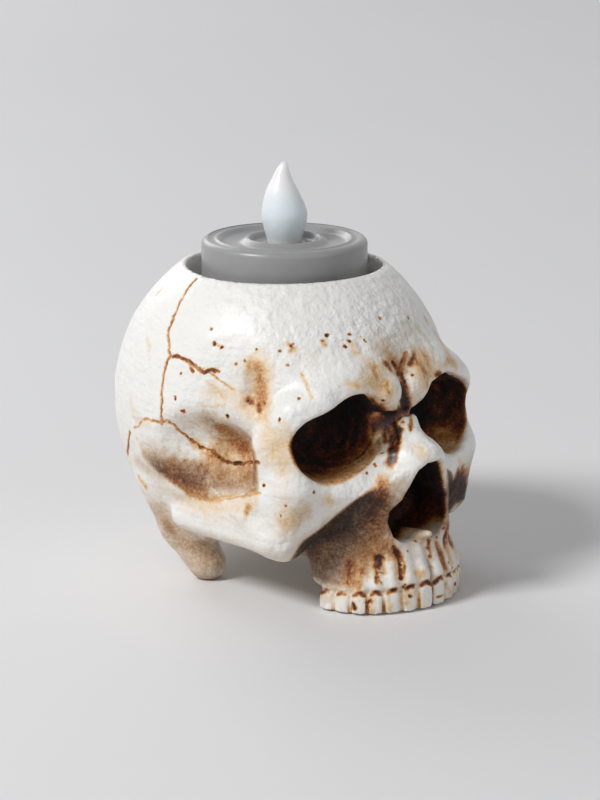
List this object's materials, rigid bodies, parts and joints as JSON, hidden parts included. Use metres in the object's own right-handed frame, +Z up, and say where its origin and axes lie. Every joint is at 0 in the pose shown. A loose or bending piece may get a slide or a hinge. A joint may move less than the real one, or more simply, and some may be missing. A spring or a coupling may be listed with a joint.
{
  "type": "skull candle holder",
  "caption": "Skull-shaped candle holder without a lower jaw, with a round well in its crown that holds a flameless battery tealight.",
  "frame": {"origin": "on the table, under the middle of the whole object's box", "axes": "+Z up, the face looks along -Y, +X is the skull's own left"},
  "size_m": [0.0724, 0.0906, 0.0945],
  "materials": {
    "skull_resin": "off-white cast resin with a brown antiquing wash, clear gloss lacquer",
    "grey_plastic": "satin moulded mid-grey plastic",
    "milky_plastic": "milky translucent plastic",
    "amber_lens": "clear amber epoxy",
    "tinned_steel": "tinned",
    "board": "green solder mask",
    "black_plastic": "satin black moulded plastic",
    "cell_steel": "nickel-plated steel"
  },
  "bodies": {
    "skull": {"skull_casting": "skull_resin"},
    "candle": {"candle_housing": "grey_plastic", "flame_lens": "milky_plastic", "led_body": "amber_lens", "led_lead_positive": "tinned_steel", "led_lead_negative": "tinned_steel", "circuit_board": "board", "flicker_chip": "black_plastic", "switch_body": "black_plastic", "base_plate": "grey_plastic", "contact_positive": "tinned_steel", "contact_negative": "tinned_steel", "coin_cell": "cell_steel"},
    "switch": {"switch_slider": "black_plastic"},
    "cover": {"battery_cover": "grey_plastic"}
  },
  "joints": [
    {"name": "candle_lift", "type": "slide", "parent": "skull", "child": "candle", "axis": [0, 0, 1], "range_m": [0, 0.045]},
    {"name": "switch_slide", "type": "slide", "parent": "candle", "child": "switch", "axis": [0, 1, 0], "range_m": [0, 0.002]},
    {"name": "battery_cover_turn", "type": "hinge", "parent": "candle", "child": "cover", "pos_m": [-0.004, 0.00299, 0.0604], "axis": [0, 0, 1], "range_deg": [0, 60]}
  ]
}
